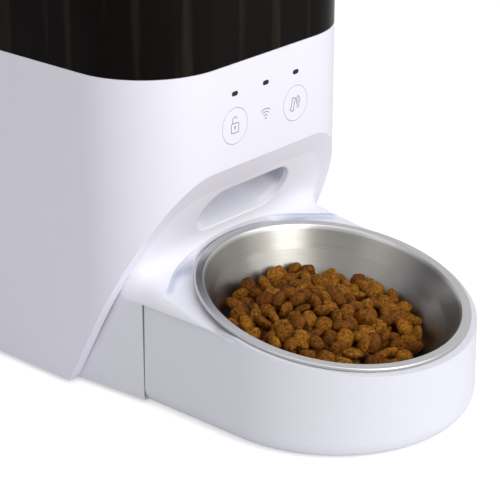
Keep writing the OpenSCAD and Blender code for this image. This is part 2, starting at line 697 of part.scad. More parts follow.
lid_z = tank_top + fit;
lid_top = lid_z + lid_h;
lid_t = 3;
skirt_in = tank_t + 1;
pocket_y = face_y + 26;
pad_w = 30;
pad_d = 12;
pocket_depth = 4;
pocket_floor = lid_top - pocket_depth;
bolt_t = 2.9;
bolt_z = slot_z + (slot_h - bolt_t) / 2;
cup_r = 26;
cup_h = 14;
module tank_lid() color("white") difference() {
    union() {
        difference() {
            hull() {
                slab(lid_z, lid_top - 4) plan(0);
                slab(lid_top - 0.1, lid_top) plan(5);
            }
            hull() {
                slab(lid_z - 1, lid_top - 4 - lid_t) plan(lid_t);
                slab(lid_top - lid_t - 0.1, lid_top - lid_t) plan(lid_t + 4.5);
            }
        }
        slab(lid_z - 10, lid_z + 4) difference() { plan(skirt_in); plan(skirt_in + 2.2); }
        slab(lid_z, lid_z + 4) difference() { plan(1); plan(skirt_in + 1); }
        translate([0, pocket_y, pocket_floor - 2.5]) slab(0, 5) square([pad_w + 8, pad_d + latch_travel + 8], center = true);
    }
    translate([0, pocket_y, pocket_floor]) slab(0, 10) square([pad_w + 2, pad_d + latch_travel + 2], center = true);
    translate([0, pocket_y, pocket_floor - 5]) slab(0, 10) square([9, 4 + latch_travel + 1.4], center = true);
    translate([-slot_w / 2, face_y, slot_z]) cube([slot_w, skirt_in + 8, slot_h]);
    slab(lid_z - 6.5, lid_z - 3.5) difference() { plan(0); plan(skirt_in + 0.9); }
}
module lid_seal() color("dimgray") slab(lid_z - 6.4, lid_z - 3.6) difference() {
    plan(tank_t + fit);
    plan(skirt_in + 0.9);
    translate([-slot_w / 2 - 1, face_y]) square([slot_w + 2, 20]);
}
module desiccant_cup() color("whitesmoke") translate([0, tower_y, lid_top - lid_t - cup_h]) difference() {
    cylinder(r = cup_r, h = cup_h);
    translate([0, 0, -1]) cylinder(r = cup_r - 1.6, h = cup_h - 0.6);
}
module desiccant_cover() color("whitesmoke") translate([0, tower_y, lid_top - lid_t - cup_h - 1.6]) difference() {
    union() {
        cylinder(r = cup_r, h = 1.6);
        difference() { cylinder(r = cup_r - 1.75, h = 4); translate([0, 0, -1]) cylinder(r = cup_r - 3.2, h = 9); }
    }
    for (i = [-3 : 3]) translate([-14, i * 6 - 1.2, -1]) cube([28, 2.4, 9]);
}
module lid_latch() color("gray") translate([0, pocket_y + latch_travel / 2, 0]) {
    translate([0, 0, pocket_floor + fit]) slab(0, pocket_depth - fit - 0.5) square([pad_w, pad_d], center = true);
    translate([0, 0, bolt_z]) slab(0, pocket_floor + 1 - bolt_z) square([8, 4], center = true);
    translate([-8, face_y + skirt_in + 2.5 - pocket_y - latch_travel / 2, bolt_z])
        cube([16, pocket_y + latch_travel / 2 + 2 - face_y - skirt_in - 2.5, bolt_t]);
}

outer_shell();
front_cowl();
base_housing();
bowl_stand();
base_screws();
stand_screws();
rubber_feet();
outlet_chute();
drum_housing();
drum_bushes();
motor_bracket();
gear_motor();
motor_screws();
control_board();
board_screws();
tact_switches();
led_lenses();
dc_inlet();
battery_box();
battery_door();
battery_contacts();
door_screw();
food_sensors();
steel_bowl();
food_tank();
tank_lid();
lid_seal();
desiccant_cup();
desiccant_cover();
lid_latch();
portion_wheel();
wheel_flaps();
wheel_shaft();
drive_gear();
motor_pinion();
lock_button();
feed_button();
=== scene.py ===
# %% [markdown]
# An automatic pet feeder: a white tower with a smoked food tank on top, a slanted
# front with a pill-shaped outlet, and a low stand that holds a tilted steel bowl.
# The solids come from the frame, in metres, with the bowl towards -Y and +Z up.
# This file dresses them: better surfaces where light would show facets, and a
# material for every piece.

# %% Load the frame
import math
import bpy
import bmesh
import numpy as np
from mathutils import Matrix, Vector


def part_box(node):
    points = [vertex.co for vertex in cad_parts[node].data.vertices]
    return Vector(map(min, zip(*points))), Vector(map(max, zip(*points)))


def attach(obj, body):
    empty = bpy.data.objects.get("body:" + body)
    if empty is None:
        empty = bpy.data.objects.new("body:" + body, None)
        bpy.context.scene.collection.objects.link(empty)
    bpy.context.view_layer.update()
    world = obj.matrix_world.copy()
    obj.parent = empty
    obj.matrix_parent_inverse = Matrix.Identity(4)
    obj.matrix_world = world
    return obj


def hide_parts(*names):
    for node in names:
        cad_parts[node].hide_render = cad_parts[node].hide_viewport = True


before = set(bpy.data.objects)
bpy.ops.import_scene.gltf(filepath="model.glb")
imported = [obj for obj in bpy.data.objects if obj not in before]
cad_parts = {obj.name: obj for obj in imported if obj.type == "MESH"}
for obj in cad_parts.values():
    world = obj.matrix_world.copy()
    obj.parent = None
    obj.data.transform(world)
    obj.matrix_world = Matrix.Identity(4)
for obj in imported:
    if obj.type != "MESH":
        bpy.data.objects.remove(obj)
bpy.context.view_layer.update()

MM = 0.001

# %% [markdown]
# The feeder's own measures. Places that the frame knows are read from its boxes, in
# millimetres, and the few that a box can't tell, such as tilts and radii, are typed.

# %% Measures
def box_mm(node):
    """Lowest and highest corner of a node, in millimetres."""
    return [np.array(corner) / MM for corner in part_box(node)]

shell_low, shell_high = box_mm("outer_shell")
stand_low, stand_high = box_mm("bowl_stand")
half_w, face_y, shell_top = shell_high[0], shell_low[1], shell_high[2]
corner_r = 51.0  # the tower's upright corners
cut_z = shell_top - 60.5  # height at which the front starts to slant
cut_angle = math.radians(27.9)  # the slant, measured from upright
cut_slope = math.tan(cut_angle)
lip_w = 7.5  # the shell's edge round the cowl
nose_r = stand_high[0]  # the stand's round nose
bowl_tilt = math.radians(10.3)
bowl_r = 80.5
bowl_y = stand_low[1] + nose_r
bowl_z = 65.5  # the bowl's rim at its middle
land = 2.4  # from the rim down to the stand's top
well_r = 77.4  # the hole for the bowl
deck_z = stand_high[2]
seam_y = stand_high[1] + 0.15  # the joint between stand and base
x_axis = np.array([1.0, 0, 0])
print("tower face", round(face_y, 2), "shell top", round(shell_top, 2), "bowl centre y", round(bowl_y, 2))

# %% [markdown]
# The camera stands to the front left of the feeder, a little above it, with a long
# lens, so that upright edges lean only slightly.

# %% Camera
def look_at(location, target):
    """Rotation that turns a camera at location towards target: its -Z axis points there, its Y axis up."""
    return (target - location).to_track_quat("-Z", "Y").to_euler()

target = Vector((0.0, -0.0156, 0.0723))
azimuth, elevation, distance = math.radians(-49.04), math.radians(23.29), 1.0857
away = Vector((math.sin(azimuth) * math.cos(elevation),
               -math.cos(azimuth) * math.cos(elevation),
               math.sin(elevation)))
camera_data = bpy.data.cameras.new("camera")
camera_data.lens, camera_data.sensor_width = 131.7, 36.0
camera = bpy.data.objects.new("camera", camera_data)
camera.location = target + distance * away
camera.rotation_euler = look_at(camera.location, target)
bpy.context.scene.collection.objects.link(camera)
bpy.context.scene.camera = camera
print("camera at", [round(v, 3) for v in camera.location])

# %% [markdown]
# Light and materials are built from nodes. Each of these helpers adds one node to a
# tree and hands back its output, so that a look can be written as a short list of steps.

# %% Nodes
def feed(tree, node, links):
    """Give a node its inputs: a socket's name or number with a value or another node's output."""
    for key, value in links.items():
        if isinstance(value, bpy.types.NodeSocket):
            tree.links.new(value, node.inputs[key])
        else:
            node.inputs[key].default_value = value

def add_node(tree, kind, links=None, **settings):
    """A node of that kind in the tree, with its properties and its inputs."""
    node = tree.nodes.new(kind)
    for key, value in settings.items():
        setattr(node, key, value)
    feed(tree, node, links or {})
    return node

def calc(tree, operation, *values, clamp=False):
    """A math node's result for those values."""
    links = dict(enumerate(values))
    return add_node(tree, "ShaderNodeMath", links, operation=operation, use_clamp=clamp).outputs[0]

def vector_calc(tree, operation, *values):
    """A vector math node's result for those values: a length, or else a vector."""
    node = add_node(tree, "ShaderNodeVectorMath", dict(enumerate(values)), operation=operation)
    return node.outputs["Value" if operation == "LENGTH" else "Vector"]

def spread(tree, value, start=(0.0, 1.0), end=(0.0, 1.0)):
    """The value carried over from one range to another, and held at its ends."""
    limits = {"From Min": start[0], "From Max": start[1], "To Min": end[0], "To Max": end[1]}
    return add_node(tree, "ShaderNodeMapRange", {"Value": value, **limits}).outputs[0]

def noise(tree, vector, scale, detail, roughness=0.5):
    """A noise, read at the vector."""
    links = {"Vector": vector, "Scale": scale, "Detail": detail, "Roughness": roughness}
    return add_node(tree, "ShaderNodeTexNoise", links).outputs["Fac"]

def mixed(tree, share, first, second, blend="MIX"):
    """Two colours mixed, the second one by its share."""
    links = {0: share, 6: first, 7: second}
    return add_node(tree, "ShaderNodeMix", links, data_type="RGBA", blend_type=blend).outputs[2]

def brightened(tree, colour, value):
    """The colour with its brightness multiplied by the value."""
    return add_node(tree, "ShaderNodeHueSaturation", {"Color": colour, "Value": value}).outputs["Color"]

def relief(tree, height, strength, distance):
    """The surface's normal, bumped by a height."""
    links = {"Height": height, "Strength": strength, "Distance": distance}
    return add_node(tree, "ShaderNodeBump", links).outputs[0]

def own_place(tree):
    """The place on the piece, in its own axes and in metres."""
    return add_node(tree, "ShaderNodeTexCoord").outputs["Object"]

def attribute(tree, name):
    """The value that a mesh keeps under that name."""
    return add_node(tree, "ShaderNodeAttribute", attribute_name=name).outputs["Fac"]
print("node helpers ready")

# %% [markdown]
# Soft studio light at a plain level: a large lamp in front and above, a low one straight
# ahead, a small one overhead, a weak one on the left, and a pale world. The camera and
# clear pieces see the world as white, and mirrors see it nearly so, which keeps the
# background white without putting more light on the feeder.

# %% World and lamps
world = bpy.data.worlds.new("studio")
bpy.context.scene.world = world
world.use_nodes = True
tree = world.node_tree
tree.nodes.clear()
path = add_node(tree, "ShaderNodeLightPath").outputs
seen = calc(tree, "MAXIMUM", path["Is Camera Ray"], path["Is Transmission Ray"])
strength = spread(tree, seen, end=(0.43, 1.0))
mirrored = spread(tree, path["Is Glossy Ray"], end=(0.0, 0.36))
total = calc(tree, "ADD", strength, mirrored)
sky = add_node(tree, "ShaderNodeBackground", {"Color": (1, 1, 1, 1), "Strength": total})
add_node(tree, "ShaderNodeOutputWorld", {"Surface": sky.outputs[0]})

def lamp(name, place, aim, size, watts):
    """A square area lamp at place, turned towards aim, in metres."""
    data = bpy.data.lights.new(name, "AREA")
    data.shape, data.size, data.energy = "SQUARE", size, watts
    obj = bpy.data.objects.new(name, data)
    obj.location = place
    obj.rotation_euler = look_at(Vector(place), Vector(aim))
    bpy.context.scene.collection.objects.link(obj)

lamp("front lamp", (0.25, -1.5, 1.15), (0, 0, 0.12), size=2.0, watts=16.0)
lamp("left lamp", (-1.7, -0.2, 0.8), (0, 0, 0.12), size=0.9, watts=1.3)
lamp("top lamp", (-0.35, -0.45, 1.7), (0, 0, 0.10), size=0.8, watts=3.0)
lamp("low lamp", (-0.1, -1.7, 0.30), (0, 0, 0.10), size=0.8, watts=7.0)
bpy.context.scene.view_settings.view_transform = "Standard"

# %% [markdown]
# The floor is a wide plain sheet. It keeps the feeder's soft shadow, and a little
# light of its own, seen by the camera only, lifts the rest of it to white.

# %% Floor
floor_mesh = bpy.data.meshes.new("floor")
floor_mesh.from_pydata([(-3, -3, 0), (3, -3, 0), (3, 3, 0), (-3, 3, 0)], [], [(0, 1, 2, 3)])
floor = bpy.data.objects.new("floor", floor_mesh)
bpy.context.scene.collection.objects.link(floor)
paper = bpy.data.materials.new("floor paper")
paper.use_nodes = True
tree = paper.node_tree
tree.nodes.clear()
path = add_node(tree, "ShaderNodeLightPath").outputs
matt = add_node(tree, "ShaderNodeBsdfDiffuse", {"Color": (0.86, 0.86, 0.87, 1)})
lift = spread(tree, path["Is Camera Ray"], end=(0.0, 0.48))
glow = add_node(tree, "ShaderNodeEmission", {"Color": (1, 1, 1, 1), "Strength": lift})
both = add_node(tree, "ShaderNodeAddShader", {0: matt.outputs[0], 1: glow.outputs[0]})
add_node(tree, "ShaderNodeOutputMaterial", {"Surface": both.outputs[0]})
floor_mesh.materials.append(paper)
print("floor", [round(v, 2) for v in floor.dimensions])

# %% [markdown]
# Moulded plastic is never quite even: its skin has a very fine grain, and its colour
# and gloss drift a little from place to place. Every plastic and rubber piece uses
# that effect, so it is one node group that puts out a colour, a roughness and a height.

# %% Moulded skin
def new_group(name, inputs):
    """A node group with inputs of (name, kind, value) that puts out a colour, a roughness and a height."""
    group = bpy.data.node_groups.new(name, "ShaderNodeTree")
    for label, kind, value in inputs:
        socket = group.interface.new_socket(label, in_out="INPUT", socket_type="NodeSocket" + kind)
        socket.default_value = value
    for label, kind in (("Color", "Color"), ("Roughness", "Float"), ("Height", "Float")):
        group.interface.new_socket(label, in_out="OUTPUT", socket_type="NodeSocket" + kind)
    return group, group.nodes.new("NodeGroupInput").outputs, group.nodes.new("NodeGroupOutput")

def new_material(name):
    """A material, its node tree and its surface."""
    material = bpy.data.materials.new(name)
    material.use_nodes = True
    return material, material.node_tree, material.node_tree.nodes["Principled BSDF"]

skin, given, put = new_group("moulded skin", [
    ("Color", "Color", (0.8, 0.8, 0.8, 1)), ("Roughness", "Float", 0.4),
    ("Drift", "Float", 0.03), ("Grain", "Float", 2500.0)])
place = own_place(skin)
clouds = noise(skin, place, 14.0, 3.0)
grain = noise(skin, place, given["Grain"], 2.0)
drift = calc(skin, "MULTIPLY", calc(skin, "SUBTRACT", clouds, 0.5), given["Drift"])
bright = calc(skin, "ADD", drift, 1.0)
rough_drift = calc(skin, "MULTIPLY", drift, 2.0)
rough = calc(skin, "ADD", given["Roughness"], rough_drift, clamp=True)
feed(skin, put, {"Color": brightened(skin, given["Color"], bright), "Roughness": rough, "Height": grain})

def moulded(name, colour, roughness, drift=0.03, grain=2500.0, bump=0.02, coat=0.0, alpha=1.0, specular=0.5):
    """Plastic or rubber: the moulded skin feeds colour, roughness and a fine bump."""
    material, tree, surface = new_material(name)
    looks = {"Color": (*colour, 1), "Roughness": roughness, "Drift": drift, "Grain": grain}
    group = add_node(tree, "ShaderNodeGroup", looks, node_tree=skin).outputs
    feed(tree, surface, {
        "Base Color": group["Color"], "Roughness": group["Roughness"],
        "Normal": relief(tree, group["Height"], bump, 0.0002),
        "Coat Weight": coat, "Alpha": alpha, "Specular IOR Level": specular})
    return material

# Painted light and shade: the white plastic parts take whites of different brightness, the cowl's lighter and the
# base's and stand's darker than the shell's, for how much light falls on each
white = (0.885, 0.868, 0.965)
plastics = {
    "shell white": dict(colour=white, roughness=0.34, coat=0.1),
    "cowl white": dict(colour=(0.925, 0.92, 1.0), roughness=0.38),
    "base white": dict(colour=(0.81, 0.81, 0.88), roughness=0.40),
    "stand white": dict(colour=(0.80, 0.80, 0.872), roughness=0.36),
    "lid white": dict(colour=white, roughness=0.34),
    "button white": dict(colour=(0.89, 0.873, 0.97), roughness=0.30, grain=3200.0),
    "foot rubber": dict(colour=(0.045, 0.045, 0.05), roughness=0.75, drift=0.15, bump=0.2),
    "chute grey": dict(colour=(0.90, 0.895, 0.96), roughness=0.28),
    "drum grey": dict(colour=(0.60, 0.60, 0.62), roughness=0.42, drift=0.06),
    "board green": dict(colour=(0.015, 0.10, 0.035), roughness=0.30, drift=0.2),
    "black plastic": dict(colour=(0.012, 0.012, 0.014), roughness=0.40, drift=0.2),
    "lens dark": dict(colour=(0.018, 0.016, 0.024), roughness=0.25, specular=0.2),
    "box grey": dict(colour=(0.52, 0.52, 0.54), roughness=0.45, drift=0.06),
    "seal rubber": dict(colour=(0.45, 0.45, 0.46), roughness=0.65, bump=0.1),
    "cup white": dict(colour=(0.80, 0.80, 0.80), roughness=0.45),
    "latch grey": dict(colour=(0.16, 0.16, 0.17), roughness=0.30),
    "wheel nylon": dict(colour=(0.76, 0.76, 0.72), roughness=0.50, drift=0.05),
    "flap rubber": dict(colour=(0.08, 0.08, 0.085), roughness=0.65, drift=0.15, bump=0.15),
    "gear nylon": dict(colour=(0.74, 0.74, 0.68), roughness=0.48, drift=0.05),
    "tank smoke": dict(colour=(0.0042, 0.0026, 0.0022), roughness=0.05, drift=0.4, bump=0.0,
                       alpha=0.99, specular=0.06),
    "print grey": dict(colour=(0.17, 0.17, 0.20), roughness=0.45, drift=0.1),
}
paints = {name: moulded(name, **looks) for name, looks in plastics.items()}
print("moulded materials", len(paints))

# %% [markdown]
# The hollow round the bowl lies in the shade of the rim, and that shade is painted into
# its colour: its ramp carries a mark, which tints the cowl's colour towards a cooler grey
# there. The outlet's dark corner carries the same mark of painted shade.

# %% Painted shade in the hollow
def overlay(tree, share, tone, blend="MIX"):
    """Lay a tone over a moulded material's own colour, by its share at each place."""
    group = next(n for n in tree.nodes if n.type == "GROUP")
    colour = mixed(tree, share, group.outputs["Color"], (*tone, 1), blend)
    feed(tree, tree.nodes["Principled BSDF"], {"Base Color": colour})

tree = paints["cowl white"].node_tree
# painted shade: the ramp mark multiplies the cowl's colour by a cool grey
overlay(tree, attribute(tree, "ramp"), (0.47, 0.535, 0.64), "MULTIPLY")
print("cowl nodes", len(tree.nodes))

# %% [markdown]
# The smoked tank carries faint upright bands of painted reflection: a noise of the place,
# far slower up the wall than along it, lifts the tank's colour.

# %% Painted reflections on the tank
tree = paints["tank smoke"].node_tree
upright = vector_calc(tree, "MULTIPLY", own_place(tree), (75, 75, 4))
# painted reflection: the upright bands lift the tank's colour towards a dark brown
overlay(tree, spread(tree, noise(tree, upright, 1.0, 3.0), (0.52, 0.78)), (0.026, 0.021, 0.016))
print("tank nodes", len(tree.nodes))

# %% [markdown]
# The stand and the base meet in a narrow joint, which stays dark because no light gets
# into it. Both take that tone within a third of a millimetre of the joint, but only in
# its outermost 3 mm, because light reaches the walls behind the bowl when it is out. At
# the bottom the tone fades, because the stand's round edge opens the joint there.

# %% Joint of stand and base
joint_near, joint_far = 0.22, 0.42  # full tone up to the first, none beyond the second
joint_deep = 3.0
fade_low, fade_high = stand_low[2] + 1.0, stand_low[2] + 4.5
for name in ("base white", "stand white"):
    tree = paints[name].node_tree
    place = add_node(tree, "ShaderNodeSeparateXYZ", {0: own_place(tree)}).outputs
    away = calc(tree, "ABSOLUTE", calc(tree, "SUBTRACT", place[1], seam_y * MM))
    near = spread(tree, away, (joint_near * MM, joint_far * MM), (1.0, 0.0))
    outside = calc(tree, "GREATER_THAN", calc(tree, "ABSOLUTE", place[0]), (nose_r - joint_deep) * MM)
    raised = spread(tree, place[2], (fade_low * MM, fade_high * MM))
    share = calc(tree, "MULTIPLY", near, calc(tree, "MULTIPLY", outside, raised))
    overlay(tree, share, (0.22, 0.22, 0.26))
print("joint at y", round(float(seam_y), 2))

# %% [markdown]
# Metal shows how it was worked: sheet and turned pieces carry fine lines along one
# direction. The group stretches a noise along that direction; the bowl gets its own
# version, whose lines run round the bowl.

# %% Worked metal
lines, given, put = new_group("drawn lines", [
    ("Color", "Color", (0.6, 0.6, 0.6, 1)), ("Roughness", "Float", 0.3),
    ("Stretch", "Vector", (60, 3000, 3000))])
streaks = noise(lines, vector_calc(lines, "MULTIPLY", own_place(lines), given["Stretch"]), 1.0, 4.0)
shade = spread(lines, streaks, end=(0.86, 1.1))
swing = spread(lines, streaks, end=(-0.08, 0.08))
feed(lines, put, {"Color": brightened(lines, given["Color"], shade), "Height": streaks,
                  "Roughness": calc(lines, "ADD", given["Roughness"], swing, clamp=True)})

def worked(name, colour, roughness, stretch):
    """Metal with drawn lines in its colour, roughness and relief; stretch is finer across the lines."""
    material, tree, surface = new_material(name)
    looks = {"Color": (*colour, 1), "Roughness": roughness, "Stretch": stretch}
    group = add_node(tree, "ShaderNodeGroup", looks, node_tree=lines).outputs
    feed(tree, surface, {
        "Base Color": group["Color"], "Roughness": group["Roughness"], "Metallic": 1.0,
        "Normal": relief(tree, group["Height"], 0.05, 0.0001)})
    return material

metals = {
    "screw steel": dict(colour=(0.42, 0.42, 0.44), roughness=0.35, stretch=(900, 900, 900)),
    "bush brass": dict(colour=(0.62, 0.44, 0.18), roughness=0.32, stretch=(2500, 60, 60)),
    "bracket steel": dict(colour=(0.56, 0.57, 0.59), roughness=0.38, stretch=(3000, 40, 3000)),
    "motor steel": dict(colour=(0.52, 0.53, 0.55), roughness=0.30, stretch=(60, 2500, 2500)),
    "contact metal": dict(colour=(0.70, 0.70, 0.72), roughness=0.22, stretch=(2500, 2500, 60)),
    "shaft steel": dict(colour=(0.60, 0.61, 0.62), roughness=0.25, stretch=(2500, 60, 60)),
    "pinion brass": dict(colour=(0.62, 0.44, 0.18), roughness=0.30, stretch=(60, 900, 900)),
}
paints.update({name: worked(name, **looks) for name, looks in metals.items()})
print("materials", len(paints))

# %% [markdown]
# The bowl is spun and brushed on a lathe: its lines run round its axis, which leans
# forward with the bowl. Turning the coordinates back by the tilt gives the distance
# from the axis and the height, and a noise of those two makes rings of fine lines.

# %% Brushed bowl
paints["bowl steel"], tree, surface = new_material("bowl steel")
shifted = vector_calc(tree, "SUBTRACT", own_place(tree), (0, bowl_y * MM, bowl_z * MM))
upright = add_node(tree, "ShaderNodeVectorRotate", {"Vector": shifted, "Angle": -bowl_tilt}, rotation_type="X_AXIS")
place = add_node(tree, "ShaderNodeSeparateXYZ", {0: upright.outputs[0]}).outputs
flat = add_node(tree, "ShaderNodeCombineXYZ", {0: place[0], 1: place[1]}).outputs[0]
radius = vector_calc(tree, "LENGTH", flat)
ring = add_node(tree, "ShaderNodeCombineXYZ", {0: radius, 1: place[2]}).outputs[0]
slow_turn = calc(tree, "MULTIPLY", calc(tree, "ARCTAN2", place[1], place[0]), 1.5)
slow = add_node(tree, "ShaderNodeCombineXYZ", {2: slow_turn}).outputs[0]
thread = vector_calc(tree, "ADD", vector_calc(tree, "MULTIPLY", ring, (2600, 2600, 0)), slow)
brush = noise(tree, thread, 1.0, 3.0)
# Painted shade: the bowl's wall takes a darker steel colour than its flange, though both are one sheet
flange = spread(tree, place[2], (-3.0 * MM, -1.0 * MM))
painted_wall_shade = mixed(tree, flange, (0.30, 0.288, 0.265, 1), (0.60, 0.60, 0.60, 1))
feed(tree, surface, {
    "Base Color": brightened(tree, painted_wall_shade, spread(tree, brush, end=(0.80, 1.12))), "Metallic": 1.0,
    "Roughness": spread(tree, noise(tree, ring, 90.0, 2.0), end=(0.24, 0.34)),
    "Normal": relief(tree, brush, 0.10, 0.0002)})
print("bowl axis leans", round(math.degrees(bowl_tilt), 1), "degrees")

# %% [markdown]
# Dry food is baked and rough: every pebble has its own tone between red brown and
# ochre, and a grainy crust whose noise also paints shade into its pits and highlights onto its high spots.

# %% Dry food
paints["dry food"], tree, surface = new_material("dry food")
pits = noise(tree, own_place(tree), 620.0, 4.0, 0.7)
baked = mixed(tree, attribute(tree, "tone"), (0.18, 0.052, 0.004, 1), (0.42, 0.165, 0.012, 1))
feed(tree, surface, {
    # painted shade in the pits and painted highlights on the high spots: the crust noise darkens and lightens the
    # colour
    "Base Color": brightened(tree, baked, spread(tree, pits, (0.35, 0.65), (0.22, 1.3))),
    "Normal": relief(tree, pits, 0.8, 0.0012), "Roughness": 0.72, "Specular IOR Level": 0.15})
print("materials", len(paints))

# %% [markdown]
# Each solid of the frame takes its finish by name.

# %% Finishes for the solids
finish = {
    "shell white": ["outer_shell"], "cowl white": ["front_cowl"], "stand white": ["bowl_stand"],
    "base white": ["base_housing", "battery_door"], "button white": ["lock_button", "feed_button"],
    "screw steel": ["base_screws", "stand_screws", "motor_screws", "board_screws", "door_screw"],
    "foot rubber": ["rubber_feet"], "chute grey": ["outlet_chute"], "drum grey": ["drum_housing"],
    "bush brass": ["drum_bushes"], "bracket steel": ["motor_bracket"], "motor steel": ["gear_motor"],
    "board green": ["control_board"], "black plastic": ["tact_switches", "dc_inlet", "food_sensors"],
    "lens dark": ["led_lenses"], "box grey": ["battery_box"], "contact metal": ["battery_contacts"],
    "bowl steel": ["steel_bowl"], "tank smoke": ["food_tank"], "lid white": ["tank_lid"],
    "seal rubber": ["lid_seal"], "cup white": ["desiccant_cup", "desiccant_cover"],
    "latch grey": ["lid_latch"], "wheel nylon": ["portion_wheel"], "flap rubber": ["wheel_flaps"],
    "shaft steel": ["wheel_shaft"], "gear nylon": ["drive_gear"], "pinion brass": ["motor_pinion"],
}
for paint, nodes in finish.items():
    for node in nodes:
        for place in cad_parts[node].material_slots:
            place.material = paints[paint]
finished = {node for nodes in finish.values() for node in nodes}
print("finished", len(finished), "solids; without a finish:", sorted(set(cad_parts) - finished))

# %% [markdown]
# New surfaces are grids of points worked out with numpy and handed to Blender whole.
# A grid may close on itself in either direction, and a piece may be made of several.

# %% From grids of points to a piece
def grid_faces(shape, wrap_rows=False, wrap_columns=False, first=0):
    """Corner numbers of the quads of a grid whose point (i, j) has number first + i * columns + j.

    Wrapping joins the last row or column to the first.
    """
    rows, columns = shape
    i = np.arange(rows if wrap_rows else rows - 1)[:, None]
    j = np.arange(columns if wrap_columns else columns - 1)[None, :]
    i2, j2 = (i + 1) % rows, (j + 1) % columns
    corners = [i * columns + j, i2 * columns + j, i2 * columns + j2, i * columns + j2]
    return np.stack(corners, axis=-1).reshape(-1, 4) + first

def facing(points, faces, towards):
    """The faces, turned over together if on the whole they look away from a direction.

    The cross product of a quad's diagonals stands for the way it looks; the products of
    all quads are added up and set against the direction.
    """
    a, b, c, d = (points[faces[:, k]] for k in range(4))
    look = np.cross(c - a, d - b).sum(axis=0) @ np.asarray(towards, dtype=float)
    return faces if look > 0 else faces[:, ::-1]

def piece_from(name, points, faces, paint, body, node=None, sharp=40, marks=None, closed=True):
    """A piece from points in millimetres and quads, merged where points meet.

    It rides on a body and may replace a node. Edges sharper than that many degrees stay
    sharp. Marks are values, one per point, that the mesh keeps under a name.
    """
    mesh = bpy.data.meshes.new(name)
    points = np.asarray(points, dtype=np.float64).reshape(-1, 3) * MM
    mesh.vertices.add(len(points))
    mesh.vertices.foreach_set("co", points.ravel())
    mesh.loops.add(faces.size)
    mesh.loops.foreach_set("vertex_index", faces.astype(np.int32).ravel())
    mesh.polygons.add(len(faces))
    mesh.polygons.foreach_set("loop_start", np.arange(0, faces.size, 4, dtype=np.int32))
    mesh.update(calc_edges=True)
    for label, values in (marks or {}).items():
        kept = mesh.attributes.new(label, "FLOAT", "POINT")
        kept.data.foreach_set("value", np.asarray(values, dtype=np.float32).ravel())
    work = bmesh.new()
    work.from_mesh(mesh)
    bmesh.ops.remove_doubles(work, verts=work.verts, dist=2e-6)
    bmesh.ops.dissolve_degenerate(work, edges=work.edges, dist=2e-6)
    if closed:
        bmesh.ops.recalc_face_normals(work, faces=work.faces)
    work.to_mesh(mesh)
    work.free()
    mesh.shade_smooth()
    mesh.set_sharp_from_angle(angle=math.radians(sharp))
    mesh.materials.append(paints[paint])
    obj = bpy.data.objects.new(name, mesh)
    bpy.context.scene.collection.objects.link(obj)
    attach(obj, body)
    if node:
        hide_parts(node)
    print(name, "vertices", len(mesh.vertices), "faces", len(mesh.polygons))
    return obj

# %% [markdown]
# The cowl is one flowing white surface. Its slanted face turns through a broad hollow
# into the deck round the bowl, and the deck rounds over to the level side walls. It is
# easiest to say as a field, a number that is positive in the air and negative inside,
# read along one line of sight in which every part of the cowl lies open. A place is
# then given by x, by t square to the sight, and by a height h along it.

# %% The cowl's field
lean = math.tan(bowl_tilt)
sight = np.array([-0.8660, 0.5])  # y and z of the direction in which the cowl is a plain height map
along = np.array([0.5, 0.8660])  # y and z of the direction square to it
flare = 0.0757  # widening of the lower body per millimetre behind the seam
shoulder_w = 14.0  # how far in from the side walls the deck starts to round over
shoulder_powers = (2.3, 0.55)  # they draw the shoulder fuller than a quarter circle
cove_r, cove_r_side = 15.0, 10.0  # radius of the turn under the face, in the middle and at the sides
cove_from, cove_run = 45.0, 38.0  # the |x| at which that radius starts to shrink, and over how much
deck_scale = 0.97  # turns a height over the leaning deck roughly into a distance

def cut_y(z):
    """y of the slanted face at height z."""
    return face_y + (cut_z - z) * cut_slope

def side_x(y):
    """Half width of the lower body: the stand's radius in front of the seam, a little more behind it."""
    return nose_r + np.clip(y - seam_y, 0, None) * flare

def cowl_field(x, y, z):
    """Roughly the distance to the cowl.

    The slanted plane and the deck meet in a round turn, and the deck falls by a rounded
    shoulder to the side walls.
    """
    inboard = np.clip((side_x(y) - np.abs(x)) / shoulder_w, 0, 1)
    shoulder = (1 - (1 - inboard) ** shoulder_powers[0]) ** shoulder_powers[1]
    rise = np.clip(bowl_z + (y - bowl_y) * lean - land - deck_z, 0, None)
    in_front = (cut_y(z) - y) * math.cos(cut_angle)
    above = (z - deck_z - rise * shoulder) * deck_scale
    r = cove_r - (cove_r - cove_r_side) * np.clip((np.abs(x) - cove_from) / cove_run, 0, 1) ** 2
    u, v = np.clip(r - in_front, 0, None), np.clip(r - above, 0, None)
    return np.maximum(r, np.minimum(in_front, above)) - np.hypot(u, v)

def plain_height(x, t):
    """Height along the sight, over (x, t), at which the field is zero, found by halving between air and solid."""
    low, high = np.full(np.shape(t), -60.0), np.full(np.shape(t), 160.0)
    for _ in range(32):
        h = (low + high) / 2
        air = cowl_field(x, t * along[0] + h * sight[0], t * along[1] + h * sight[1]) > 0
        high, low = np.where(air, h, high), np.where(air, low, h)
    return h
print("height at the middle", round(float(plain_height(np.array(0.0), np.array(80.0))), 2))

# %% [markdown]
# Beside and behind the bowl a leaf-shaped hollow is scooped out of the deck, with room
# for fingers and for the rim on its way out. Its upper edge is an arc, below which a
# ramp falls to a floor that lies parallel to the rim.

# %% The hollow round the bowl
arc_top, arc_drop, arc_half = 71.5, 17.9, 75.9  # the arc's t in the middle, its drop and its half width
step_down, step_run = 2.2, 1.1  # the small step under the arc
ramp_slope = 0.5
floor_deep = 5.4  # from the rim down to the hollow's floor
soft = 1.5  # softness of the turn between ramp and floor
# the painted shade on the ramp grows with |x| and with the fall under the arc
shade_from, shade_run = 32.0, 24.0  # the |x| at which the shade starts, and over how much it grows
shade_fall = 3.0  # t below the arc at which the shade is full

def arc_t(x):
    """Upper edge of the hollow: it falls with a little more than the square of the distance to its tips."""
    return arc_top - arc_drop * (np.abs(x) / arc_half) ** 2.2

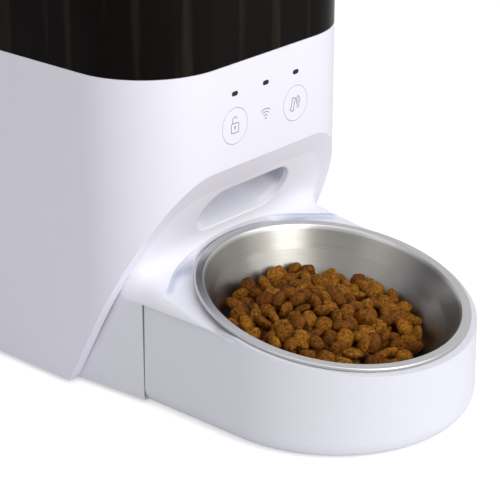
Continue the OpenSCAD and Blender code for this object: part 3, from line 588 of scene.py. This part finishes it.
def cowl_height(x, t):
    """Height of the cowl over (x, t), and how much painted shade it carries in the hollow.

    Under the arc the surface drops by a small step and follows the ramp or the floor,
    whichever is higher, with a soft turn between them, but never rises over the plain one.
    """
    plain = plain_height(x, t)
    fall = np.clip(arc_t(x) - t, 0, None)
    ramp = plain_height(x, arc_t(x)) - step_down * (1 - np.exp(-fall / step_run)) + ramp_slope * fall
    floor = bowl_z - floor_deep - bowl_y * lean + t * (along[0] * lean - along[1])
    floor = floor / (sight[1] - sight[0] * lean)
    blend = np.clip(0.5 + (ramp - floor) / (2 * soft), 0, 1)
    scoop = floor + (ramp - floor) * blend + soft * blend * (1 - blend)
    inside = (t < arc_t(x)) & (scoop < plain)
    # painted shade: most on the ramp, a little on the floor, none near the middle
    sideways = np.clip((np.abs(x) - shade_from) / shade_run, 0, 1)
    shade = (0.1 + 0.9 * blend) * sideways * np.clip(fall / shade_fall, 0.6, 1)
    return np.where(inside, scoop, plain), np.where(inside, shade, 0.0)

def from_sight(x, t, h):
    """Points over (x, t) at height h along the sight."""
    return np.stack([x, t * along[0] + h * sight[0], t * along[1] + h * sight[1]], axis=-1)

def on_cowl(x, t):
    """Points of the cowl over (x, t)."""
    return from_sight(x, t, cowl_height(x, t)[0])
print("arc's tips at t", round(float(arc_t(arc_half)), 2))

# %% [markdown]
# Round the bowl the deck ends at a ring just outside the rim. At each angle the ring's
# edge is lowered or raised along the bowl's axis until it meets the cowl. Where the
# slanted face stands over it, the edge follows the arc instead, and hands over softly.

# %% Ring round the bowl
rim_up = np.array([0, -math.sin(bowl_tilt), math.cos(bowl_tilt)])
rim_back = np.array([0, math.cos(bowl_tilt), math.sin(bowl_tilt)])
rim_gap = 1.5
handover = 26.0  # millimetres of x over which the edge leaves the arc
behind = 40.0  # from the bowl's middle back to where the arc is of use
deepest, highest = -25.0, 3.4  # places tried for the edge, along the bowl's axis
turn = np.radians(np.linspace(3.0, 177.0, 560))
outwards = np.sin(turn)[:, None] * rim_back - np.cos(turn)[:, None] * x_axis
ring_centre = np.array([0, bowl_y, bowl_z])
ring = ring_centre + (bowl_r + rim_gap) * outwards

def in_air(p):
    """Whether points lie on the air side of the cowl, and their t."""
    t = p[:, 1] * along[0] + p[:, 2] * along[1]
    return p[:, 1] * sight[0] + p[:, 2] * sight[1] > cowl_height(p[:, 0], t)[0], t

low, high = np.full(len(turn), deepest), np.full(len(turn), highest)
open_above = in_air(ring + high[:, None] * rim_up)[0]
for _ in range(30):
    middle = (low + high) / 2
    air, t = in_air(ring + middle[:, None] * rim_up)
    high, low = np.where(air, middle, high), np.where(air, low, middle)
brink = np.abs(ring[~open_above, 0]).max()
settled = np.clip((np.abs(ring[:, 0]) - brink) / handover, 0, 1)
settled = settled ** 2 * (3 - 2 * settled)
settled = np.where(ring[:, 1] > bowl_y + behind, settled, 1.0)
inner = np.stack([ring[:, 0], t * settled + (arc_t(ring[:, 0]) - 0.02) * (1 - settled)], axis=1)
print("ring open above", int(open_above.sum()), "of", len(turn))

# %% [markdown]
# Outwards the deck ends at the side walls, at the shell's lip, and at a level line
# across the slanted face. The way round those three is walked in even steps, one for
# every point of the ring.

# %% Outer border of the deck
split_z = 88.6  # height on the slanted face where deck and face meet
split_t = cut_y(split_z) * along[0] + split_z * along[1]
lip_start, lip_run = 73.0, 4.0  # height at which the lip takes over from the side walls, and over how much

def lip_x(y):
    """Half width inside the shell's lip."""
    bend = np.clip((corner_r - lip_w) ** 2 - (face_y + corner_r - y) ** 2, 0, None)
    return half_w - corner_r + np.sqrt(bend) + 0.35

side_t = np.linspace(inner[0, 1] - 1.0, split_t, 500)
side = np.full(500, nose_r)
for _ in range(8):
    p = on_cowl(side - 0.02, side_t)
    upper = np.clip((p[:, 2] - lip_start) / lip_run, 0, 1)
    side = side_x(p[:, 1]) * (1 - upper) + np.minimum(lip_x(p[:, 1]), side_x(p[:, 1])) * upper
top_x = np.linspace(-side[-1], side[-1], 260)[1:-1]
edge = np.concatenate([np.stack([-side, side_t], 1), np.stack([top_x, np.full(len(top_x), split_t)], 1),
                       np.stack([side, side_t], 1)[::-1]])
reach = np.concatenate([[0], np.cumsum(np.hypot(*np.diff(edge, axis=0).T))])
even = np.linspace(0, reach[-1], len(turn))
outer = np.stack([np.interp(even, reach, edge[:, 0]), np.interp(even, reach, edge[:, 1])], axis=1)
print("border length", round(float(reach[-1]), 1))

# %% [markdown]
# The deck's grid runs from the ring to that border. One of its lines lies on the arc, so
# that the hollow's edge is drawn clean.

# %% Deck
low, high = np.zeros(len(turn)), np.ones(len(turn))
for _ in range(24):
    m = (low + high) / 2
    x, t = (inner * (1 - m[:, None]) + outer * m[:, None]).T
    under = t < arc_t(x)
    low, high = np.where(under, m, low), np.where(under, high, m)
knot = np.clip(m, 0.02, 0.85)[:, None]
below_arc, over_arc = np.linspace(0, 1, 40)[None, :], np.linspace(0, 1, 50)[None, 1:]
part = np.concatenate([knot * below_arc, knot + (1 - knot) * over_arc], axis=1)[..., None]
x, t = (inner[:, None] * (1 - part) + outer[:, None] * part).transpose(2, 0, 1)
height, ramp = cowl_height(x, t)
deck = from_sight(x, t, height)
print("deck", deck.shape[:2])

# %% [markdown]
# Below the ring the wall of the bowl's well goes down inside the stand. At the back it
# ends on a narrow ledge instead, which covers the gap behind the base. At its outer end
# the deck turns down along the slant, or is tucked under the shell's lip.

# %% Well and hem
ledge_w, ledge_t = 5.4, 1.5
well_deep = 12.0
brim_top = -2.9  # the well's edge stays at least this far below the rim
tip_z, tip_x = 77.5, 75.0  # below and outside these the deck's end turns down along the slant

def well_at(r, z):
    """Points at radius r from the bowl's axis and height z, one for every point of the ring.

    They lie (z - bowl_z - r sin(turn) sin(tilt)) / cos(tilt) along the axis.
    """
    up = (z - bowl_z - r * np.sin(turn) * rim_back[2]) / rim_up[2]
    return ring_centre + np.reshape(r, (-1, 1)) * outwards + up[:, None] * rim_up

brim = np.where(open_above, middle, 0.0).clip(max=brim_top)[:, None]
well = (ring - ring_centre) * (well_r / (bowl_r + rim_gap)) + ring_centre
ledge_r = (seam_y - 0.2 - bowl_y) * math.cos(bowl_tilt) / np.sin(turn)
ledge_r = np.clip(ledge_r, well_r - ledge_w, well_r)
at_back = (ledge_r < well_r)[:, None]
foot = [well_at(ledge_r, deck_z - 0.05), well_at(ledge_r, deck_z + ledge_t), well_at(well_r, deck_z + ledge_t)]
foot = [np.where(at_back, spot, well - (well_deep + more) * rim_up) for spot, more in zip(foot, (0.3, 0.2, 0.0))]
rim_wall = np.stack(foot + [well + brim * rim_up, ring + brim * rim_up], axis=1)
hem = deck[:, -1:].copy()
on_side = (np.clip((tip_z - hem[..., 2]) / 2, 0, 1) * (np.abs(hem[..., 0]) > tip_x))[..., None]
slid = hem[..., 1] + (hem[..., 2] - deck_z) * (cut_slope + 0.4)
down = np.stack([hem[..., 0], slid, np.full(hem.shape[:2], deck_z - 0.2)], axis=-1)
tuck = np.array([0, 2.5, 0])
hem = hem * (1 - on_side) + down * on_side + (1 - on_side) * tuck
deck_grid = np.concatenate([rim_wall, deck, hem], axis=1)
# painted shade that the deck's colour takes, kept under the ramp mark
deck_painted_shade = np.zeros(deck_grid.shape[:2])
deck_painted_shade[:, rim_wall.shape[1]:-1] = ramp
print("deck grid", deck_grid.shape[:2])

# %% [markdown]
# Above the deck the slanted face runs up to the shell's lip, with the outlet in it.
# The outlet is a pill. Places on the face are given by x and by s, the distance up the
# slant from the outlet's centre.

# %% Places on the slanted face
outlet_z = cut_z - 32.0
outlet_w, outlet_h = 76.0, 31.0
uphill = np.array([-math.sin(cut_angle), math.cos(cut_angle)])  # y and z of a millimetre up the slanted face
inward = np.array([0, math.cos(cut_angle), math.sin(cut_angle)])  # square to the slanted face, into the tower

def pill(width, height, count):
    """Points of a pill and its outward normals, at even steps along its outline."""
    r, flat = height / 2, width - height
    s = np.linspace(0, 2 * flat + 2 * math.pi * r, count, endpoint=False)
    s1, s2, s3 = flat, flat + math.pi * r, 2 * flat + math.pi * r
    pieces = [s < s1, s < s2, s < s3]
    a = np.select(pieces, [0 * s, (s - s1) / r, math.pi + 0 * s], math.pi + (s - s3) / r)
    centre = np.select(pieces, [s - flat / 2, flat / 2 + 0 * s, flat / 2 - (s - s2)], -flat / 2)
    normal = np.stack([np.sin(a), -np.cos(a)], axis=1)
    return np.stack([centre, 0 * s], axis=1) + normal * r, normal

def face_place(x, s):
    """(x, t) of a place on the face."""
    return x, (cut_y(outlet_z) + s * uphill[0]) * along[0] + (outlet_z + s * uphill[1]) * along[1]

def spot_on_rays(angle, outline):
    """Where rays from the outlet's centre at those angles cross a closed outline round it."""
    turn_of = np.arctan2(outline[:, 1], outline[:, 0])
    return np.stack([np.interp(angle, turn_of, outline[:, k], period=2 * math.pi) for k in (0, 1)], axis=1)
print("outlet's centre at z", round(float(outlet_z), 2))

# %% [markdown]
# The pill's outline is carried outwards to the face's border, which is the deck's level
# line, the lip on both sides and the line where the slant starts.

# %% Slanted face
round_r = 1.5  # the small rounding of the outlet's edge
outline, normal = pill(outlet_w, outlet_h, 400)
edge_s = np.linspace((split_z - outlet_z) / uphill[1],
                     (cut_z - outlet_z) / uphill[1] - lip_w / math.sin(cut_angle) + 0.1, 400)
edge_x = lip_x(cut_y(outlet_z) + edge_s * uphill[0])

def level_line(k, direction):
    """Points across the face at the k-th height of its border."""
    return np.stack([direction * np.linspace(-edge_x[k], edge_x[k], 300), np.full(300, edge_s[k])], 1)

border = np.concatenate([level_line(0, 1), np.stack([edge_x, edge_s], 1),
                         level_line(-1, -1), np.stack([-edge_x, edge_s], 1)[::-1]])
first = outline + normal * round_r
far_end = spot_on_rays(np.arctan2(first[:, 1], first[:, 0]), border)
v = (np.linspace(0, 1, 30) ** 1.3)[None, :, None]
flat = first[:, None] * (1 - v) + far_end[:, None] * v
face = on_cowl(*face_place(flat[..., 0], flat[..., 1]))
print("face", face.shape[:2])

# %% [markdown]
# Inwards the outline goes round a small rounded edge into a throat, a slightly smaller
# pill that leads down along the chute.

# %% Outlet
throat_w, throat_h, throat_deep = 70.6, 29.6, 5.0
chute_angle = math.radians(30)
bend = np.radians(np.linspace(90, 10, 8))[None, :, None]
curl_flat = first[:, None] - normal[:, None] * round_r * np.sin(bend)
curl = on_cowl(*face_place(curl_flat[..., 0], curl_flat[..., 1])) + inward * round_r * (1 - np.cos(bend))
small, _ = pill(throat_w, throat_h, len(outline))
x, s = spot_on_rays(np.arctan2(outline[:, 1], outline[:, 0]), small).T
throat = np.stack([x, cut_y(outlet_z) + s * uphill[0], outlet_z + s * uphill[1]], axis=1) + inward * throat_deep
steps = np.array([1.0, 0.8, 0.6, 0.4, 0.2])[None, :, None]
down_chute = np.array([0, math.cos(chute_angle), math.sin(chute_angle)])
far_steps = np.array([24.0, 16.0, 8.0])[None, :, None]
throat = np.concatenate([throat[:, None] + down_chute * far_steps,
                         throat[:, None] * steps + curl[:, :1] * (1 - steps)], axis=1)
face_grid = np.concatenate([throat, curl, face, face[:, -1:] + tuck], axis=1)
print("face grid", face_grid.shape[:2])

# %% [markdown]
# Deck and face are joined into one piece, which takes the place of the imported cowl. The
# throat's upper walls carry the same mark of painted shade as the ramp, since little light gets there.

# %% Cowl
dark_rows = 7  # the throat's rows of points, up to near its edge
deck_faces = facing(deck_grid.reshape(-1, 3), grid_faces(deck_grid.shape[:2]), (0, *sight))
face_faces = facing(face_grid.reshape(-1, 3), grid_faces(face_grid.shape[:2], wrap_rows=True), (0, *sight))
points = np.concatenate([deck_grid.reshape(-1, 3), face_grid.reshape(-1, 3)])
faces = np.concatenate([deck_faces, face_faces + deck_grid[..., 0].size])
# painted shade on the throat's upper walls, strongest towards its top
face_painted_shade = np.zeros(face_grid.shape[:2])
face_painted_shade[:, :dark_rows] = 0.85 * np.clip((normal[:, 1:] + 0.45) / 0.4, 0, 1)
marks = {"ramp": np.concatenate([deck_painted_shade.ravel(), face_painted_shade.ravel()])}
piece_from("cowl", points, faces, "cowl white", "housing", "front_cowl", marks=marks, closed=False)

# %% [markdown]
# The bowl is spun from one sheet: a flat flange rolled over at its edge, a straight
# side with a shallow ring pressed into it, a rounded knee and a flat floor. Its profile
# is a row of corners with radii, turned about the bowl's leaning axis.

# %% Bowl
bowl_deep = 41.0

def rounded(corners, step=8):
    """A polyline through (place, height, radius) corners.

    Each corner is rounded by a quadratic curve that leaves and joins the straights one
    radius away, or just short of their middle.
    """
    spots = np.array([c[:2] for c in corners], dtype=float)
    out = [spots[:1]]
    for k in range(1, len(spots) - 1):
        back, ahead = spots[k - 1] - spots[k], spots[k + 1] - spots[k]
        r = corners[k][2]
        a = spots[k] + back / np.linalg.norm(back) * min(r, np.linalg.norm(back) * 0.49)
        b = spots[k] + ahead / np.linalg.norm(ahead) * min(r, np.linalg.norm(ahead) * 0.49)
        u = np.linspace(0, 1, step)[:, None]
        out.append(a * (1 - u) ** 2 + 2 * spots[k] * u * (1 - u) + b * u ** 2)
    return np.concatenate(out + [spots[-1:]])

bowl_in = bowl_r - 5.5
inside = [(0, -bowl_deep, 0), (44, -bowl_deep, 4), (53.4, -34.5, 6), (68.0, -13.0, 0.4), (68.5, -12.1, 0.4),
          (68.6, -12.0, 0.3), (74.4, -1.6, 1.0), (bowl_in + 0.3, -0.1, 0.6)]
rolled = [(bowl_r - 0.5, 0, 0.5), (bowl_r, -0.6, 0.4), (bowl_r, -2.1, 0.4),
          (bowl_r - 1.0, -2.1, 0.4), (bowl_r - 1.0, -1.1, 0.4)]
outside = [(bowl_in + 1.2, -1.2, 0.8), (73.9, -10, 1), (54.4, -35, 6), (44.5, -42, 4), (0, -42, 0)]
profile = rounded(inside + rolled + outside)
a = np.linspace(0, 2 * math.pi, 256, endpoint=False)[:, None, None]
r, h = profile[None, :, :1], profile[None, :, 1:]
bowl_points = ring_centre + r * np.cos(a) * x_axis + r * np.sin(a) * rim_back + h * rim_up
bowl_faces = grid_faces(bowl_points.shape[:2], wrap_rows=True)
piece_from("bowl", bowl_points, bowl_faces, "bowl steel", "bowl", "steel_bowl", sharp=50)

# %% [markdown]
# The pictures on the panel are thin printed lines. A line is a flat bar swept along its
# path, a hair proud of the face.

# %% Printed lines
print_w = 0.45
sunk, proud = 0.02, -0.05  # the bar's back and front, measured from the face into the tower

def arc(cx, cz, rx, rz, start, end, count=24):
    """Points of an ellipse's arc between two angles in degrees."""
    a = np.radians(np.linspace(start, end, count))
    return np.stack([cx + rx * np.cos(a), cz + rz * np.sin(a)], axis=1)

def loop_of(*parts):
    """One closed line through the parts."""
    return np.concatenate([*parts, parts[0][:1]])

def printed(name, body, paths, x0, z0, lean_deg=0.0):
    """Bars along paths given in x and z about (x0, z0), turned by lean_deg."""
    a = math.radians(lean_deg)
    rotation = np.array([[math.cos(a), math.sin(a)], [-math.sin(a), math.cos(a)]])
    rows, quads, count = [], [], 0
    for path in paths:
        path = np.asarray(path, dtype=float) @ rotation + (x0, z0)
        loop = np.allclose(path[0], path[-1])
        path = path[:-1] if loop else path
        ahead = np.roll(path, -1, axis=0) - np.roll(path, 1, axis=0) if loop else np.gradient(path, axis=0)
        side = np.stack([-ahead[:, 1], ahead[:, 0]], axis=1) / np.hypot(*ahead.T)[:, None] * print_w / 2
        corners = [(path + side, sunk), (path - side, sunk), (path - side, proud), (path + side, proud)]
        bar = np.stack([np.stack([p[:, 0], np.full(len(p), face_y + y), p[:, 1]], axis=1) for p, y in corners],
                       axis=1)
        if not loop:
            first, last = (end.mean(axis=1, keepdims=True).repeat(4, axis=1) for end in (bar[:1], bar[-1:]))
            bar = np.concatenate([first, bar, last])
        rows.append(bar.reshape(-1, 3))
        quads.append(grid_faces(bar.shape[:2], wrap_rows=loop, wrap_columns=True, first=count))
        count += bar.shape[0] * 4
    piece_from(name, np.concatenate(rows), np.concatenate(quads), "print grey", body, sharp=30)
print("printed lines", print_w, "wide")

# %% [markdown]
# An open padlock stands on the lock button, radio waves in the middle, and a bone with
# a fish on the feed button.

# %% Pictures on the panel
button_half = 12.0  # half of a button's box, with its hidden flange
lock_x, feed_x = (box_mm(node)[0][0] + button_half for node in ("lock_button", "feed_button"))
panel_z = box_mm("lock_button")[0][2] + button_half
padlock_body = loop_of(arc(2.2, 0.7, 0.9, 0.9, 90, 0, 8), arc(2.2, -3.2, 0.9, 0.9, 0, -90, 8),
                       arc(-2.2, -3.2, 0.9, 0.9, -90, -180, 8), arc(-2.2, 0.7, 0.9, 0.9, 180, 90, 8))
shackle = np.concatenate([[(-2.0, 1.6)], arc(-0.1, 3.4, 1.9, 1.9, 180, 20, 20)])
keyhole = [arc(0, -0.8, 0.55, 0.55, 0, 360, 16), [(0, -1.3), (0, -2.4)]]
printed("padlock_print", "lock", [padlock_body, shackle, *keyhole], lock_x, panel_z)
waves = [arc(0, -2.6, r, r, 48, 132, 20) for r in (2.0, 3.9, 5.8)]
printed("radio_wave_print", "housing", waves + [arc(0, -2.6, 0.3, 0.3, 0, 360, 12)], 0.0, panel_z + 0.3)
bone = loop_of(arc(0.75, 3.1, 0.85, 0.85, -60, 150, 14), arc(-0.75, 3.1, 0.85, 0.85, 30, 240, 14),
               arc(-0.75, -3.1, 0.85, 0.85, 120, 330, 14), arc(0.75, -3.1, 0.85, 0.85, 210, 420, 14))
printed("bone_print", "feed", [bone], feed_x - 2.3, panel_z - 0.3, lean_deg=-14)
fish = loop_of(arc(0, 0.9, 1.35, 2.6, -68, 248, 40), [(-1.1, -3.3), (1.1, -3.3)])
printed("fish_print", "feed", [fish, [(0, 1.8), (0, -0.4)]], feed_x + 2.3, panel_z + 0.3)

# %% [markdown]
# The bowl is shown with a helping of dry food, which is not part of the feeder. The
# pebbles lie in two layers on a heap whose top is a little left of and behind the
# bowl's middle. Their places are x and v, which runs back along the bowl's floor.

# %% Places of the pebbles
draw = np.random.default_rng(7)
pitch = 9.7  # from pebble to pebble in a row
row_step = 0.87  # from row to row, in pitches
layer = 6.5  # from the upper layer down to the lower one
lowest = 3.5  # places lower than this over the floor stay empty
pebble_room = 4.9  # from a pebble's middle to the wall
i, j = np.meshgrid(np.arange(-9, 10), np.arange(-10, 11), indexing="ij")
spots = np.stack([(j + 0.5 * (i % 2)) * pitch, i * pitch * row_step], axis=-1).reshape(-1, 2)
spots = spots + draw.uniform(-1.7, 1.7, spots.shape)

def heap(x, v):
    """Height of the heap over the bowl's floor: a broad mound with its top at (-4, 2)."""
    return 16.0 + 13.5 * np.exp(-(((x + 4) / 46) ** 2 + ((v - 2) / 40) ** 2))

def wall_r(h):
    """Inner radius of the bowl at height h over its floor."""
    return np.interp(h, [0, 2, 6.5, 31, 41], [44, 49, 53.4, 72, 74.5])

lumps = []
for drop in (0.0, layer):
    for x, v in spots:
        h = heap(x, v) - drop + draw.uniform(-1.8, 1.8)
        if h > lowest and math.hypot(x, v) < wall_r(h) - pebble_room:
            lumps.append((x, v, max(h, 4.2)))
lumps = np.array(lumps)
n = len(lumps)
print("pebbles", n)

# %% [markdown]
# Each pebble is a small lumpy ball, pressed flat, rippled by two waves and turned by a
# unit quaternion of its own, which mostly keeps it lying down. It carries its tone.

# %% A helping of dry food
up_a = np.linspace(0, math.pi, 8)[None, :, None]
round_a = np.linspace(0, 2 * math.pi, 11, endpoint=False)[None, None, :]
ball = [np.sin(up_a) * np.cos(round_a), np.sin(up_a) * np.sin(round_a), np.cos(up_a)]
ball = np.stack(np.broadcast_arrays(*ball), axis=-1)
size = draw.uniform(4.7, 6.5, (n, 1, 1, 1))
stretch = [draw.uniform(0.9, 1.15, n), draw.uniform(0.9, 1.15, n), draw.uniform(0.46, 0.68, n)]
size = size * np.stack(stretch, axis=-1)[:, None, None]
ripple = 1 + 0.055 * np.sin(3 * ball[..., 0] * 2 + draw.uniform(0, 6, (n, 1, 1)))
ripple = ripple + 0.05 * np.sin(5 * ball[..., 1] + draw.uniform(0, 6, (n, 1, 1)))
shape = ball * ripple[..., None] * size
q = draw.normal(size=(n, 4)) * np.array([1.0, 0.55, 0.55, 1.0])
w, a, b, c = (q / np.linalg.norm(q, axis=1, keepdims=True)).T
spin = [1 - 2 * (b * b + c * c), 2 * (a * b - c * w), 2 * (a * c + b * w),
        2 * (a * b + c * w), 1 - 2 * (a * a + c * c), 2 * (b * c - a * w),
        2 * (a * c - b * w), 2 * (b * c + a * w), 1 - 2 * (a * a + b * b)]
spin = np.stack(spin, axis=-1).reshape(n, 3, 3)
shape = np.einsum("nij,nklj->nkli", spin, shape)
base = ring_centre - bowl_deep * rim_up
points = base + (shape + lumps[:, None, None]) @ np.stack([x_axis, rim_back, rim_up])
per = points.shape[1] * points.shape[2]
quads = grid_faces(points.shape[1:3], wrap_columns=True)[:, ::-1]
quads = (quads[None] + (np.arange(n) * per)[:, None, None]).reshape(-1, 4)
tones = {"tone": np.repeat(draw.uniform(0, 1, n), per)}
food = piece_from("dry_food", points, quads, "dry food", "bowl", marks=tones)
print("points in a pebble", per)
